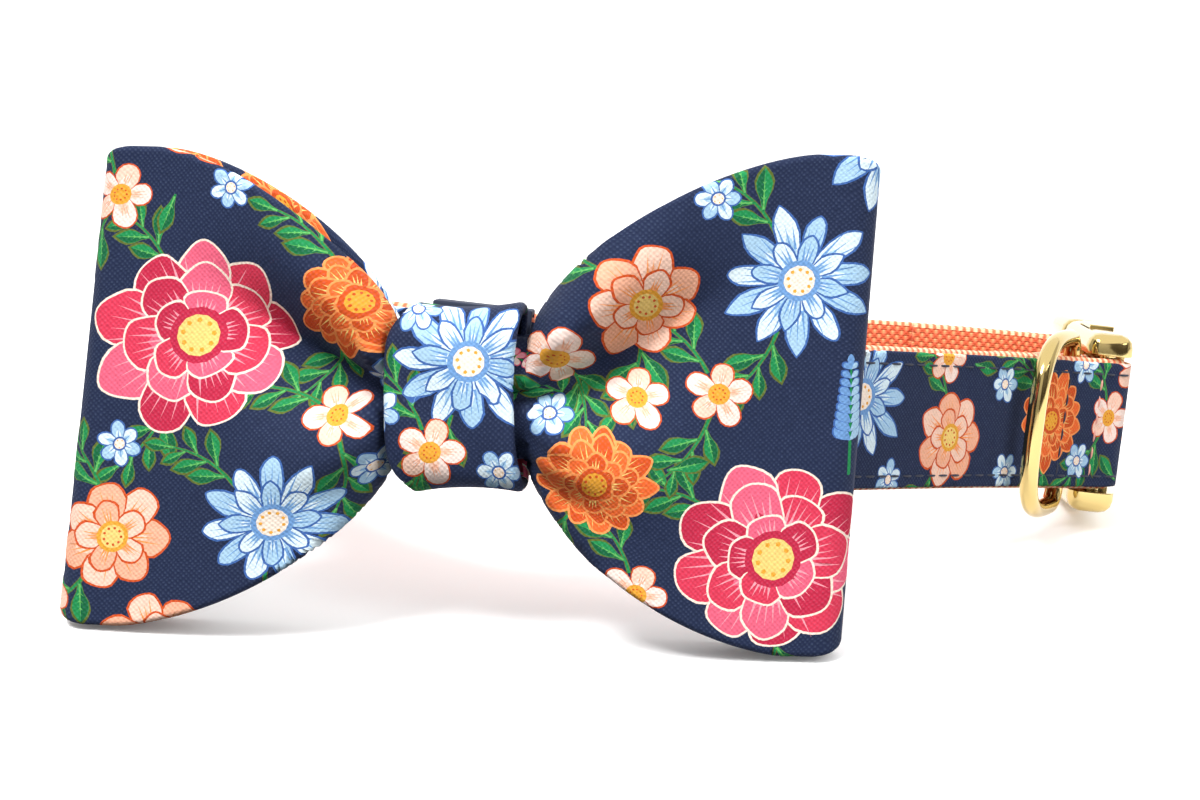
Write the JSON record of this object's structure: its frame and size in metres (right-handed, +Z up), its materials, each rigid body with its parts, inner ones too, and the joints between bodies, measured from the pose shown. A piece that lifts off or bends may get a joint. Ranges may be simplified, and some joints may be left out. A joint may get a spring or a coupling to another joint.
{
  "type": "pet bow tie collar",
  "caption": "Fastened fabric pet collar with a large bow tie, a D-ring and a side-release metal buckle.",
  "frame": {"origin": "centre of the bounding box at its bottom, on the surface the collar stands on", "axes": "+Z up; +X to the viewer's right along the front of the bow; -Y towards the viewer, so the bow faces -Y and the buckle and D-ring lie towards +X and +Y; the strap's width leans about 5 degrees from +Z as the collar rests"},
  "size_m": [0.183, 0.1566, 0.0784],
  "materials": {
    "printed_cotton": "matte plain weave cotton, navy ground with a dense floral print",
    "coral_webbing": "woven webbing, coral with lighter dots and cream edges",
    "navy_elastic": "matte plain elastic",
    "polished_gold_metal": "polished gold-coloured plating"
  },
  "bodies": {
    "collar": {"bow_loop": "printed_cotton", "knot_band": "printed_cotton", "strap_holder": "navy_elastic", "webbing_strap": "coral_webbing", "fabric_cover": "printed_cotton", "buckle_socket": "polished_gold_metal", "buckle_plug": "polished_gold_metal"},
    "d_ring": {"d_ring": "polished_gold_metal"}
  },
  "joints": [
    {"name": "ring_hinge", "type": "hinge", "parent": "collar", "child": "d_ring", "pos_m": [0.078, 0.02063, 0.02217], "axis": [0.0747, 0.0728, 0.9945], "range_deg": [-2, 105]}
  ]
}
